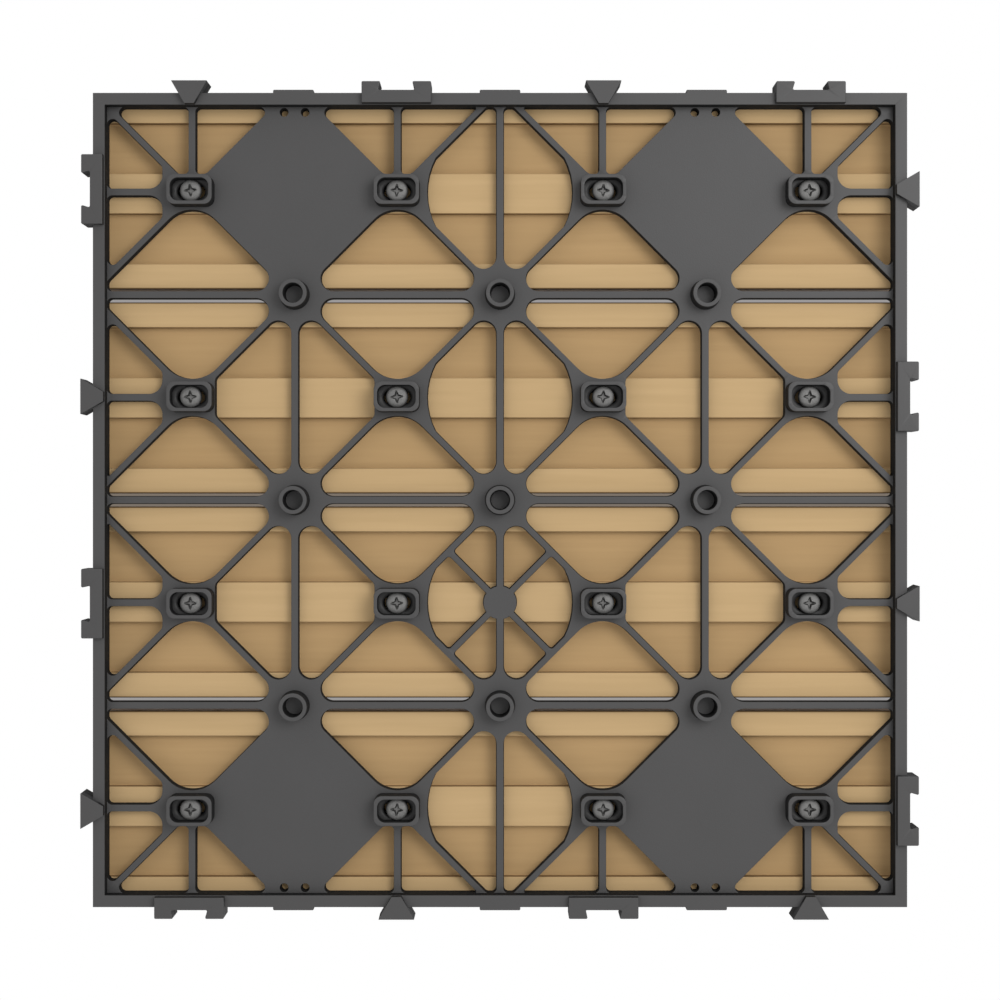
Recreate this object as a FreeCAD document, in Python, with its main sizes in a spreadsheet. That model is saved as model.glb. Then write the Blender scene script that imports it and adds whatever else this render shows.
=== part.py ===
import FreeCAD, Part
import collections
import math
import os

# Interlocking deck tile, modelled as it is laid: walking face up, feet on the ground at z = 0.
# One moulded base carries four composite slats, and four screws from below hold each slat.
# The middle of the tile is x = y = 0, and the slats run along x.

CELLS = 4
QUARTERS = 4

SIZES = (
    # The plan of the tile
    ("module", 76.2, "distance from one screw to the next, both ways"),
    ("tile_gap", 4.8, "space between the frames of two tiles that are clipped together"),
    # The moulded base
    ("base_height", 10.4, "from the feet up to the seat of the slats"),
    ("web_thickness", 3.6, "ribs and corner plates"),
    ("rim_width", 4.25, "wall round the base"),
    ("rim_lift", 2.4, "lower edge of the rim above the ground"),
    ("rib_width", 2.8, "straight ribs"),
    ("brace_width", 2.5, "slanted ribs"),
    ("foot_land", 9.8, "from the middle of a foot to the openings round it"),
    ("apex_radius", 11.9, "corner of an opening that points at a screw boss"),
    ("bow_land", 3.3, "from a boss to the round end of an opening by the middle rib"),
    ("hub_width", 12.2, "eight-sided gate pad on the middle rib"),
    # Screw bosses: a collar with a pocket for the screw head, and a slot for the shank above it
    ("seat_height", 5.2, "seat of the screw head above the ground"),
    ("head_play", 0.1, "round the screw head in its pocket"),
    ("head_travel", 5.5, "how far the head can shift along its pocket"),
    ("boss_wall", 1.15, "wall of the collar"),
    ("boss_chamfer", 1.3, "corners of the collar and its pocket"),
    ("boss_margin", 0.3, "from the collar to an opening beside it"),
    ("boss_land", 2.7, "from the collar to the openings by the left and right rim"),
    ("shank_play", 0.3, "round the shank in its slot"),
    ("shank_travel", 4.0, "how far the shank can shift along its slot"),
    # Feet
    ("foot_diameter", 10.0, "at the ground"),
    ("foot_draft", 1.0, "degrees"),
    ("foot_bore", 7.6, "hollow of the foot"),
    ("foot_roof", 3.0, "above the hollow of the foot"),
    # Clips
    ("clip_tip", 12.2, "wide outer end of the dovetail"),
    ("clip_neck", 4.0, "narrow end of the dovetail, on the rim"),
    ("clip_draft", 1.0, "degrees"),
    ("clip_play", 0.3, "on each side of a dovetail in its socket"),
    ("clip_end_play", 0.25, "before the end of a dovetail in its socket"),
    ("socket_reach", 3.8, "arms of the socket beyond the frame"),
    ("socket_floor", 0.5, "floor of the socket beyond the frame"),
    ("socket_catch", 0.6, "how much narrower the mouth is than the dovetail"),
    ("socket_arm", 7.0, "each arm at its open end"),
    ("tab_length", 15.0, "spacer tabs"),
    ("tab_reach", 1.05, "spacer tabs beyond the frame"),
    # Slats
    ("slat_gap", 4.9, "between two slats"),
    ("slat_thickness", 15.0, "from the lands to the walking face"),
    ("slat_edge_land", 9.4, "land along each edge"),
    ("slat_middle_land", 14.9, "land under the screws"),
    ("channel_depth", 3.0, "between the lands"),
    ("slat_edge_radius", 1.5, "edges of the walking face"),
    # Screws
    ("head_diameter", 8.2, "pan head"),
    ("head_height", 2.3, "pan head"),
    ("shank_width", 4.6, "over the thread"),
    ("screw_length", 17.0, "from under the head to the point"),
    ("pilot_play", 0.05, "round the shank in the slat"),
)

doc = FreeCAD.newDocument("deck_tile")
sheet = doc.addObject("Spreadsheet::Sheet", "Sizes")
for row, (name, amount, meaning) in enumerate(SIZES, start=1):
    sheet.set(f"A{row}", str(amount))
    sheet.setAlias(f"A{row}", name)
    sheet.set(f"B{row}", meaning)
doc.recompute()


def size(name):
    return float(sheet.get(name))


# Places that follow from the sizes

half_cell = size("module") / 2
frame_half = CELLS * half_cell - size("tile_gap") / 2
rim_inner = frame_half - size("rim_width")
boss_lines = [(2 * index + 1 - CELLS) * half_cell for index in range(CELLS)]
foot_lines = [index * size("module") for index in (-1, 0, 1)]
rim_room = rim_inner - boss_lines[-1]

half_rib = size("rib_width") / 2
# A slanted rib runs at 45 degrees, so its edge is this far from its middle line along x and along y.
brace_reach = size("brace_width") / math.sqrt(2)

pocket_width = size("head_diameter") + 2 * size("head_play")
pocket_length = pocket_width + size("head_travel")
boss_width = pocket_width + 2 * size("boss_wall")
boss_length = pocket_length + 2 * size("boss_wall")
slot_width = size("shank_width") + 2 * size("shank_play")
slot_length = slot_width + size("shank_travel")


# Outlines are drawn counterclockwise through corners. A corner may be rounded, and the side that
# leaves it may be an arc about a centre.

Corner = collections.namedtuple("Corner", "x y radius centre", defaults=(0.0, None))


def moved(corners, dx, dy):
    shifted = []
    for corner in corners:
        centre = corner.centre and (corner.centre[0] + dx, corner.centre[1] + dy)
        shifted.append(Corner(corner.x + dx, corner.y + dy, corner.radius, centre))
    return shifted


def turned(corners, degrees):
    """The same corners, turned about the origin."""
    cosine = math.cos(math.radians(degrees))
    sine = math.sin(math.radians(degrees))

    def turn(x, y):
        return x * cosine - y * sine, x * sine + y * cosine

    return [Corner(*turn(c.x, c.y), c.radius, c.centre and turn(*c.centre)) for c in corners]


def mirrored(corners):
    """The same straight sides on the other side of the y axis."""
    return [Corner(-c.x, c.y, c.radius) for c in reversed(corners)]


def rectangle(length, width, chamfer=0.0):
    """About the origin, with its corners cut off where there is a chamfer."""
    a, b = length / 2, width / 2
    if chamfer == 0.0:
        return [Corner(-a, -b), Corner(a, -b), Corner(a, b), Corner(-a, b)]
    right = [Corner(a - chamfer, -b), Corner(a, chamfer - b), Corner(a, b - chamfer), Corner(a - chamfer, b)]
    return right + mirrored(right)


def eight_sided(width):
    """About the origin, width across its sides."""
    return rectangle(width, width, width / (2 + math.sqrt(2)))


def vector(x, y):
    return FreeCAD.Vector(x, y, 0)


def outline(corners):
    """The edges of a closed outline, with each corner rounded as far as its sides allow."""
    count = len(corners)
    points = [vector(c.x, c.y) for c in corners]
    sides = [points[(i + 1) % count] - points[i] for i in range(count)]
    turns = [sides[i - 1].getAngle(sides[i]) for i in range(count)]
    room = [min(sides[i - 1].Length, sides[i].Length) * 0.48 for i in range(count)]
    setbacks = [min(corners[i].radius * math.tan(turns[i] / 2), room[i]) for i in range(count)]
    edges = []
    for i in range(count):
        j = (i + 1) % count
        if corners[i].centre:
            centre = vector(*corners[i].centre)
            middle = (points[i] + points[j]) / 2 - centre
            bulge = centre + middle.normalize() * (points[i] - centre).Length
            edges.append(Part.Arc(points[i], bulge, points[j]))
            continue
        along = FreeCAD.Vector(sides[i]).normalize()
        end = points[j] - along * setbacks[j]
        edges.append(Part.LineSegment(points[i] + along * setbacks[i], end))
        if setbacks[j] > 0:
            edges.append(rounding(end, points[j], FreeCAD.Vector(sides[j]).normalize(), turns[j]))
    return edges


def rounding(start, corner, next_side, turn):
    """The arc from a point before the corner to one as far beyond it; turn is between the sides."""
    setback = (corner - start).Length
    end = corner + next_side * setback
    inwards = ((start + end) / 2 - corner).normalize()
    radius = setback / math.tan(turn / 2)
    return Part.Arc(start, corner + inwards * (radius / math.cos(turn / 2) - radius), end)


def outlines(corners, places):
    """The outline, repeated at each place."""
    return [edge for x, y in places for edge in outline(moved(corners, x, y))]


def circles(diameter, places):
    up = FreeCAD.Vector(0, 0, 1)
    return [Part.Circle(vector(x, y), up, diameter / 2) for x, y in places]


# Features of a body

def new_body(label):
    body = doc.addObject("PartDesign::Body", label)
    body.Label = label
    return body


def new_sketch(body, name, edges, plane="XY_Plane", height="0"):
    """A sketch on one of the body's own planes; height is where it lies along the plane's normal."""
    sketch = body.newObject("Sketcher::SketchObject", f"{body.Name}_{name}_outline")
    support = next(item for item in body.Origin.OriginFeatures if item.Role == plane)
    sketch.AttachmentSupport = [(support, "")]
    sketch.MapMode = "FlatFace"
    sketch.setExpression("AttachmentOffset.Base.z", height)
    sketch.addGeometry(edges, False)
    return sketch


def add(body, name, edges, bottom, depth, draft=None):
    """Material from the height bottom upwards. Faces in one plane are left to the last feature to merge."""
    pad = body.newObject("PartDesign::Pad", f"{body.Name}_{name}")
    pad.Profile = new_sketch(body, name, edges, height=bottom)
    pad.setExpression("Length", depth)
    pad.Refine = False
    if draft:
        pad.setExpression("TaperAngle", draft)
    return pad


def cut(body, name, edges, bottom, depth):
    """Material taken away from the height bottom upwards."""
    pocket = body.newObject("PartDesign::Pocket", f"{body.Name}_{name}")
    pocket.Profile = new_sketch(body, name, edges, height=bottom)
    pocket.Reversed = True
    pocket.setExpression("Length", depth)
    pocket.Refine = False
    return pocket


# Openings of the web. Each cell has a screw boss in its middle and slanted ribs to its corners.
# An opening is drawn above the boss, as if the cell's middle were the origin, then turned and moved.

def wide_opening(point, left_room, right_room):
    """Between two slanted ribs; point is its end towards the boss, and the rooms are how wide it may be."""
    base = half_cell - half_rib
    right = [Corner(right_room, right_room + brace_reach), Corner(right_room, base)]
    left = [Corner(-left_room, base), Corner(-left_room, left_room + brace_reach)]
    return point + right + left


def rim_opening(level):
    """On the rim, to the right of the short rib; level is its side towards the boss."""
    return [
        Corner(half_rib, level),
        Corner(level - brace_reach, level),
        Corner(rim_room - brace_reach, rim_room),
        Corner(half_rib, rim_room),
    ]


def apex_point():
    return [Corner(0.0, brace_reach, size("apex_radius"))]


def flat_point():
    """An end that stops short of the end of a boss."""
    level = boss_length / 2 + size("boss_margin")
    return [Corner(brace_reach - level, level), Corner(level - brace_reach, level)]


def bow_point():
    """A round end, an arc about a point on the middle rib."""
    radius = half_cell - boss_length / 2 - size("bow_land")
    reach = half_cell - brace_reach
    across = (reach - math.sqrt(max(2 * radius**2 - reach**2, 0))) / 2
    level = across + brace_reach
    return [Corner(-across, level, centre=(0.0, half_cell)), Corner(across, level)]


def rim_is_near(x, y, quarter):
    """Whether the cell's side is on the rim, that many quarter turns from +y."""
    return (y, -x, -y, x)[quarter % QUARTERS] > size("module")


def openings_towards(x, y, quarter):
    """The cell's openings on one of its sides, drawn above the boss."""
    across_slats = quarter % 2 == 0
    if rim_is_near(x, y, quarter):
        if across_slats:
            half = rim_opening(boss_width / 2 + size("boss_margin"))
        else:
            half = rim_opening(boss_length / 2 + size("boss_land"))
        return [half, mirrored(half)]
    land_room = half_cell - size("foot_land")
    left_room = rim_room if rim_is_near(x, y, quarter + 1) else land_room
    right_room = rim_room if rim_is_near(x, y, quarter + 3) else land_room
    on_middle_rib = abs(x) < size("module")
    faces_middle_rib = on_middle_rib and (quarter == 1) == (x > 0)
    if across_slats:
        return [wide_opening(apex_point(), left_room, right_room)]
    if faces_middle_rib:
        return [wide_opening(bow_point(), left_room, right_room)]
    if abs(y) > size("module"):
        return []
    return [wide_opening(flat_point(), left_room, right_room)]


def web_openings(bosses):
    edges = []
    for x, y in bosses:
        for quarter in range(QUARTERS):
            for corners in openings_towards(x, y, quarter):
                edges += outline(moved(turned(corners, 90 * quarter), x, y))
    return edges


# The moulded base

def clip_outline():
    """A dovetail on the +y side, about x = 0."""
    reach = size("tile_gap") - size("socket_floor") - size("clip_end_play")
    neck, tip = size("clip_neck") / 2, size("clip_tip") / 2
    right = [Corner(neck, rim_inner), Corner(tip, frame_half + reach)]
    return right + mirrored(right)


def socket_outline():
    """A C-shaped socket on the +y side, about x = 0, for the dovetail of the next tile."""
    end, floor = frame_half + size("socket_reach"), frame_half + size("socket_floor")
    mouth = (size("clip_tip") - size("socket_catch")) / 2
    side = mouth + size("socket_arm")
    spread = size("base_height") * math.tan(math.radians(size("clip_draft")))
    inner = size("clip_tip") / 2 + spread + size("clip_play")
    right = [Corner(side, rim_inner), Corner(side, end), Corner(mouth, end), Corner(inner, floor)]
    return right + mirrored(right)


def on_each_side(corners, lines):
    """A +y side shape at each of the lines, the same from all four sides."""
    edges = []
    for quarter in range(QUARTERS):
        for line in lines:
            edges += outline(turned(moved(corners, line, 0.0), 90 * quarter))
    return edges


def hub_outline():
    """The gate pad, with a bar from each of its slanted sides to the middle of a slanted rib."""
    side, half_side = size("hub_width") / 2, size("hub_width") / 2 * math.tan(math.pi / 8)
    end, half_bar = half_cell / math.sqrt(2), size("brace_width") / 2
    bar = [
        Corner(side, -half_side),
        Corner(side, -half_bar),
        Corner(end, -half_bar),
        Corner(end, half_bar),
        Corner(side, half_bar),
        Corner(side, half_side),
    ]
    corners = []
    for quarter in range(QUARTERS):
        corners += turned(bar, 45 + 90 * quarter)
    return moved(corners, 0.0, boss_lines[1])


def make_base():
    base = new_body("moulded_base")
    bosses = [(x, y) for x in boss_lines for y in boss_lines]
    feet = [(x, y) for x in foot_lines for y in foot_lines]
    web_bottom = "Sizes.base_height - Sizes.web_thickness"
    rim_depth = "Sizes.base_height - Sizes.rim_lift"
    frame = outline(rectangle(2 * frame_half, 2 * frame_half))
    inside = outline(rectangle(2 * rim_inner, 2 * rim_inner))

    # Outer features first: they are quicker to join while the web is still a plain plate.
    add(base, "web", frame, web_bottom, "Sizes.web_thickness")
    add(base, "rim", frame + inside, "Sizes.rim_lift", rim_depth)
    tab = rectangle(size("tab_length"), size("tab_reach"))
    tab_y = frame_half + size("tab_reach") / 2
    tabs = outlines(tab, [(x, y) for x in foot_lines for y in (-tab_y, tab_y)])
    add(base, "tabs", tabs, "Sizes.rim_lift", rim_depth)
    clips = on_each_side(clip_outline(), boss_lines[1::2])
    add(base, "clips", clips, "0", "Sizes.base_height", draft="Sizes.clip_draft")
    sockets = on_each_side(socket_outline(), boss_lines[0::2])
    add(base, "sockets", sockets, "0", "Sizes.base_height")

    add(base, "feet", circles(size("foot_diameter"), feet), "0", web_bottom, draft="Sizes.foot_draft")
    cut(base, "foot_bores", circles(size("foot_bore"), feet), "0", "Sizes.base_height - Sizes.foot_roof")

    chamfer = size("boss_chamfer")
    collars = outlines(rectangle(boss_length, boss_width, chamfer), bosses)
    add(base, "collars", collars, "0", "Sizes.base_height")
    pockets = outlines(rectangle(pocket_length, pocket_width, chamfer), bosses)
    cut(base, "pockets", pockets, "0", "Sizes.seat_height")
    slots = outlines(rectangle(slot_length, slot_width), bosses)
    cut(base, "shank_slots", slots, "Sizes.seat_height", "Sizes.base_height - Sizes.seat_height")

    cut(base, "openings", web_openings(bosses), web_bottom, "Sizes.web_thickness")
    add(base, "hub", outline(hub_outline()), web_bottom, "Sizes.web_thickness")
    base.Tip.Refine = True
    return base


# The slats

def slat_profile():
    """Across the slat and up from its lands, with two channels in the underside."""
    side = (size("module") - size("slat_gap")) / 2
    outer = side - size("slat_edge_land")
    inner = size("slat_middle_land") / 2
    roof = size("channel_depth")
    right = [
        Corner(inner, 0.0),
        Corner(inner, roof),
        Corner(outer, roof),
        Corner(outer, 0.0),
        Corner(side, 0.0),
        Corner(side, size("slat_thickness"), size("slat_edge_radius")),
    ]
    return right + mirrored(right)


def make_slat(label, y):
    slat = new_body(label)
    board = slat.newObject("PartDesign::Pad", f"{label}_board")
    board.Profile = new_sketch(slat, "board", outline(slat_profile()), plane="YZ_Plane")
    board.Midplane = True
    board.Length = 2 * frame_half
    pilot = eight_sided(size("shank_width") + 2 * size("pilot_play"))
    inside = "Sizes.screw_length - Sizes.base_height + Sizes.seat_height + Sizes.pilot_play"
    cut(slat, "pilots", outlines(pilot, [(x, 0.0) for x in boss_lines]), "0", inside)
    slat.Placement.Base = vector(0, y)
    slat.setExpression("Placement.Base.z", "Sizes.base_height")
    return slat


# The screws. The thread is left out: the shank is plain and eight-sided, and so is its hole.

def make_screw(label, x, y):
    screw = new_body(label)
    add(screw, "head", circles(size("head_diameter"), [(0.0, 0.0)]), "-Sizes.head_height", "Sizes.head_height")
    add(screw, "shank", outline(eight_sided(size("shank_width"))), "0", "Sizes.screw_length")
    screw.Placement.Base = vector(x, y)
    screw.setExpression("Placement.Base.z", "Sizes.seat_height")
    return screw


pieces = [make_base()]
for slat_number, line in enumerate(boss_lines, start=1):
    pieces.append(make_slat(f"slat_{slat_number}", line))
    for place, x in enumerate(boss_lines, start=1):
        pieces.append(make_screw(f"screw_{slat_number}_{place}", x, line))

doc.recompute()
for item in doc.Objects:
    if "Invalid" in item.State or "Error" in item.State:
        raise ValueError(f"{item.Name} failed: {item.State}")
for piece in pieces:
    if piece.Shape.isNull() or not piece.Shape.isValid() or len(piece.Shape.Solids) != 1:
        raise ValueError(f"{piece.Label} is not one valid solid")

os.makedirs("parts", exist_ok=True)
for piece in pieces:
    piece.Shape.exportStep(f"parts/{piece.Label}.step")
    print(piece.Label, round(piece.Shape.Volume, 1))
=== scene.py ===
import math
import random

import bmesh
import bpy
from mathutils import Matrix, Vector


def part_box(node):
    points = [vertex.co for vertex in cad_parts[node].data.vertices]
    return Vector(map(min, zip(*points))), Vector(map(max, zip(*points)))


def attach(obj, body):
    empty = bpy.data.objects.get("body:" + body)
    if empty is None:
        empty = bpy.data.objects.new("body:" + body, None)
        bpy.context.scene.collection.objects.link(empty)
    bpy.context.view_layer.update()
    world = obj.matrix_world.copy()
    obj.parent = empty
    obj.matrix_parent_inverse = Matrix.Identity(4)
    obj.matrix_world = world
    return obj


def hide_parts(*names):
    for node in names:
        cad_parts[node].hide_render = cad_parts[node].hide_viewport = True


# An interlocking deck tile, seen from below as in the photograph.
# The moulded base, the four composite boards and the sixteen screws are modelled here in full, round the
# same places and sizes as the plain model. Shapes are drawn in millimetres and brought to metres at the end.

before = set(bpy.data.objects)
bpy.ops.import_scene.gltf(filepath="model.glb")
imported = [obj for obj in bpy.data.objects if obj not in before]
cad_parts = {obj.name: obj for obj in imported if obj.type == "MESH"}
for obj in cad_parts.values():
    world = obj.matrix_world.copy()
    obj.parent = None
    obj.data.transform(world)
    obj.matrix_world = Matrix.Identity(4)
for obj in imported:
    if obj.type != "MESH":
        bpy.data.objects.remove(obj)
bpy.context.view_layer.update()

MM = 0.001


def box_in_mm(node):
    low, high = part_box(node)
    return Vector(low) / MM, Vector(high) / MM


# Places from the plain model

CELLS = 4
QUARTERS = 4
base_height = box_in_mm("moulded_base")[1].z
board_low, board_high = box_in_mm("slat_1")
screw_low, screw_high = box_in_mm("screw_1_1")

screw_places = {}
for row in range(1, CELLS + 1):
    for column in range(1, CELLS + 1):
        low, high = box_in_mm(f"screw_{row}_{column}")
        screw_places[row, column] = (low + high) / 2
boss_lines = [screw_places[1, column].x for column in range(1, CELLS + 1)]
module = (boss_lines[-1] - boss_lines[0]) / (CELLS - 1)
half_cell = module / 2
foot_lines = [(boss_lines[i] + boss_lines[i + 1]) / 2 for i in range(CELLS - 1)]

frame_half = board_high.x
board_width = board_high.y - board_low.y
board_bottom = board_low.z
board_top = board_high.z
head_bottom = screw_low.z
screw_point = screw_high.z

# Sizes of the base, in millimetres

WEB_BOTTOM = 6.8
RIM_LIFT = 2.4
RIM_WIDTH = 4.25
RIM_PROUD = 0.12
RIM_EDGE_ROUND = 0.15
RIB_WIDTH = 2.75
BRACE_WIDTH = 2.38
WEB_DRAFT = 0.24
WEB_EDGE_ROUND = 0.1
SEAT_HEIGHT = 5.2
COLLAR_LENGTH = 16.8
COLLAR_WIDTH = 11.1
COLLAR_WALL = 1.38
COLLAR_DRAFT = 0.12
COLLAR_EDGE = 0.12
COLLAR_ROUND = 3.0
POCKET_ROUND = 2.9
SLOT_LENGTH = 9.9
SLOT_WIDTH = 4.6
SLOT_EDGE = 1.2
HUB_WIDTH = 12.5
BAR_ROUND = 1.2
FOOT_WIDTH = 10.35
FOOT_ROOT_WIDTH = 11.4
FOOT_EDGE = 0.12
FOOT_BORE = 7.46
FOOT_BORE_END = 6.6
FOOT_BORE_DEPTH = 7.4
DRAIN_WIDTH = 3.3
DRAIN_STRAIGHT = 0.2
DRAIN_END_WIDTH = 2.3
DRAIN_SPACING = 7.8
DRAIN_SETBACK = 1.9
CLIP_TIP = 13.4
CLIP_NECK = 3.7
CLIP_REACH = 4.2
CLIP_INSET = 0.1
CLIP_SPREAD = 0.1
CLIP_ROUND = 0.12
SOCKET_REACH = 3.95
SOCKET_INSET = 0.35
SOCKET_FLOOR = 0.75
SOCKET_MOUTH = 11.6
SOCKET_INSIDE = 13.5
SOCKET_LENGTH = 25.6
TAB_LENGTH = 15.0
TAB_REACH = 1.3
TAB_ROOT = 1.0

# Where parts of the base meet: how far one goes into the next, how far their tops stay under the seat of
# the boards, and how far a cut goes past the face that it opens, in millimetres

OVERLAP = 0.5
FOOT_OVERLAP = 1.0
SINK = 0.05
CUT_PAST = 1.0

# Corners of the openings, in millimetres

LAND_ROUND = 4.7
APEX_ROUND = 12.8
APEX_OUTER_ROUND = 12.0
BOW_RADIUS = 26.95
BOW_END_ROUND = 2.0
RIM_ROUND = 2.0
RIM_SMALL_ROUND = 1.8
MIDDLE_ROUND = 0.5
BOSS_ROUND = 2.8
SHORT_RIB_ROUND = 5.0
BOSS_SMALL_ROUND = 1.5
BOSS_LAND = 2.7
BOSS_MARGIN = 0.2
RIM_BOSS_MARGIN = 1.3

# Edges and corners of clips, sockets and tabs, in millimetres

EDGE_ROUND = 0.3
CORNER_ROUND = 0.5

# How curves are drawn. A quarter round has its middle at this share of the radius from its corner.

ARC_STEP = math.radians(7.5)
ROUND_STEPS = 48
SMALL_ROUND_STEPS = 24
ROUND_MIDDLE = 0.3
MOST_OF_SIDE = 0.98
SNAP = 0.001
BORDER_ANGLE = math.radians(60)
SHARP_ANGLE = math.radians(50)
WALL_LEAN = 0.5

rim_inner = frame_half - RIM_WIDTH
rim_room = rim_inner - boss_lines[-1]
half_rib = RIB_WIDTH / 2
brace_reach = BRACE_WIDTH / math.sqrt(2)


# Outlines. A corner is (x, y, radius); an outline becomes points, with each corner an arc.

def arc_points(centre, start, sweep):
    """From the point start round the centre, through the angle sweep."""
    steps = max(2, math.ceil(abs(sweep) / ARC_STEP))
    arm = start - centre
    return [centre + Matrix.Rotation(sweep * i / steps, 2) @ arm for i in range(steps + 1)]


def rounded(corners):
    """Counterclockwise points round the corners. Where two arcs don't fit on a side, they share it."""
    count = len(corners)
    spots = [Vector(corner[:2]) for corner in corners]
    sides = [spots[(i + 1) % count] - spots[i] for i in range(count)]
    turns = [sides[i - 1].angle_signed(sides[i]) * -1 for i in range(count)]
    wanted = [corner[2] * math.tan(abs(turn) / 2) for corner, turn in zip(corners, turns)]
    points = []
    for i, (spot, turn) in enumerate(zip(spots, turns)):
        if wanted[i] < SNAP:
            points.append(spot)
            continue
        before = sides[i - 1].length * wanted[i] / (wanted[i] + wanted[i - 1])
        after = sides[i].length * wanted[i] / (wanted[i] + wanted[(i + 1) % count])
        setback = min(wanted[i], before * MOST_OF_SIDE, after * MOST_OF_SIDE)
        start = spot - sides[i - 1].normalized() * setback
        radius = math.copysign(setback / math.tan(abs(turn) / 2), turn)
        centre = start + sides[i - 1].orthogonal().normalized() * radius
        points += arc_points(centre, start, turn)
    return points


def ring(diameter, steps):
    angles = [2 * math.pi * i / steps for i in range(steps)]
    return [Vector((math.cos(angle), math.sin(angle))) * diameter / 2 for angle in angles]


def block(length, width, radius):
    a, b = length / 2, width / 2
    return [(-a, -b, radius), (a, -b, radius), (a, b, radius), (-a, b, radius)]


def mirrored(corners):
    return [(-x, y, radius) for x, y, radius in reversed(corners)]


def placed(points, x, y, quarters=0):
    """The points, turned by quarters about the origin and then moved."""
    turn = Matrix.Rotation(math.radians(90 * quarters), 2)
    return [turn @ point + Vector((x, y)) for point in points]


# Solids

def add_loop(bm, points, z=0.0):
    verts = [bm.verts.new((point.x, point.y, z)) for point in points]
    return [bm.edges.new((verts[i - 1], verts[i])) for i in range(len(verts))]


def fill(part, loops, height):
    """A flat face at that height, with any number of outlines."""
    edges = []
    for points in loops:
        edges += add_loop(part, points, height)
    bmesh.ops.triangle_fill(part, edges=edges, use_beauty=True, normal=(0, 0, 1))


def thicken(part, bottom, top, edge, rounded_ends, draft=0.0):
    """Raises the flat faces of a part into a plate, with its edges rounded at the bottom, the top or both.

    Draft draws the bottom outlines in and the top ones out, as in a part that has to leave its mould."""
    grown = bmesh.ops.extrude_face_region(part, geom=part.faces[:])
    raised = [item for item in grown["geom"] if isinstance(item, bmesh.types.BMVert)]
    bmesh.ops.translate(part, verts=raised, vec=(0, 0, top - bottom))
    bmesh.ops.recalc_face_normals(part, faces=part.faces[:])
    if draft:
        draw_in(part, bottom, draft / 2)
        draw_in(part, top, -draft / 2)
    if edge:
        heights = [height for height, wanted in zip((bottom, top), rounded_ends) if wanted]
        rims = [e for e in part.edges if is_rim(e, heights)]
        bmesh.ops.bevel(part, geom=rims, offset=edge, segments=2, profile=0.5, affect="EDGES",
                        material=-1, clamp_overlap=False)


def draw_in(part, height, distance):
    """Moves the outlines at that height towards the solid."""
    moves = []
    for vert in part.verts:
        walls = [face.normal for face in vert.link_faces if abs(face.normal.z) < WALL_LEAN]
        if abs(vert.co.z - height) < SNAP and walls:
            first, second = walls[0], walls[-1]
            moves.append((vert, (first + second) * distance / (1 + first.dot(second))))
    for vert, move in moves:
        vert.co -= move


def plate(bm, loops, bottom, top, edge=EDGE_ROUND, rounded_ends=(True, True), draft=0.0):
    part = bmesh.new()
    fill(part, loops, bottom)
    thicken(part, bottom, top, edge, rounded_ends, draft)
    take_in(bm, part)


def is_rim(edge, heights):
    """Whether the edge is on a flat face's border at one of the heights."""
    first, second = edge.verts
    if not any(abs(first.co.z - height) + abs(second.co.z - height) < SNAP for height in heights):
        return False
    return edge.calc_face_angle(0) > BORDER_ANGLE


def lathe(bm, profile, x, y, steps=ROUND_STEPS):
    """A solid of revolution. The profile is (radius, height) from axis to axis."""
    part = bmesh.new()
    verts = [part.verts.new((radius, 0, height)) for radius, height in profile]
    edges = [part.edges.new(pair) for pair in zip(verts, verts[1:])]
    bmesh.ops.spin(part, geom=verts + edges, cent=(0, 0, 0), axis=(0, 0, 1), angle=2 * math.pi,
                   steps=steps, use_merge=True, use_duplicate=False)
    bmesh.ops.remove_doubles(part, verts=part.verts[:], dist=SNAP)
    bmesh.ops.recalc_face_normals(part, faces=part.faces[:])
    bmesh.ops.translate(part, verts=part.verts[:], vec=(x, y, 0))
    take_in(bm, part)


def take_in(bm, part):
    mesh = bpy.data.meshes.new("part")
    part.to_mesh(mesh)
    part.free()
    bm.from_mesh(mesh)
    bpy.data.meshes.remove(mesh)


def new_object(name, bm, closed=True):
    if closed and any(len(edge.link_faces) != 2 for edge in bm.edges):
        raise ValueError(f"{name} isn't closed")
    mesh = bpy.data.meshes.new(name)
    bm.to_mesh(mesh)
    bm.free()
    obj = bpy.data.objects.new(name, mesh)
    bpy.context.scene.collection.objects.link(obj)
    return obj


def combine(obj, operation, *tools):
    """Joins the tools to the object or cuts them out of it."""
    for tool in tools:
        step = obj.modifiers.new("step", "BOOLEAN")
        step.operation = operation
        step.solver = "MANIFOLD"
        step.object = tool
    apply_modifiers(obj)
    for tool in tools:
        bpy.data.objects.remove(tool)


def apply_modifiers(obj):
    graph = bpy.context.evaluated_depsgraph_get()
    finished = bpy.data.meshes.new_from_object(obj.evaluated_get(graph))
    obj.modifiers.clear()
    worn = obj.data
    obj.data = finished
    bpy.data.meshes.remove(worn)


def finish_piece(obj, material, slot, *nodes):
    """Brings the piece to metres, shades it and hands it to the frame."""
    obj.data.transform(Matrix.Scale(MM, 4))
    obj.data.shade_smooth()
    obj.data.set_sharp_from_angle(angle=SHARP_ANGLE)
    shading = obj.modifiers.new("even_shading", "WEIGHTED_NORMAL")
    shading.keep_sharp = True
    obj.data.materials.clear()
    obj.data.materials.append(material)
    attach(obj, "root")
    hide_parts(*nodes)


# Openings of the web, drawn above the boss of a cell, which is the origin

def wide_opening(point, left, right):
    """Between two slanted ribs. Point is its end towards the boss; left and right are the other corners."""
    return rounded(point + right + left)


def rib_side():
    """The corner beside a foot."""
    base = half_cell - half_rib
    return [(base - brace_reach, base, LAND_ROUND)]


def rim_side():
    """The two corners on the rim."""
    base = half_cell - half_rib
    return [(rim_room, rim_room + brace_reach, RIM_ROUND), (rim_room, base, RIM_SMALL_ROUND)]


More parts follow.
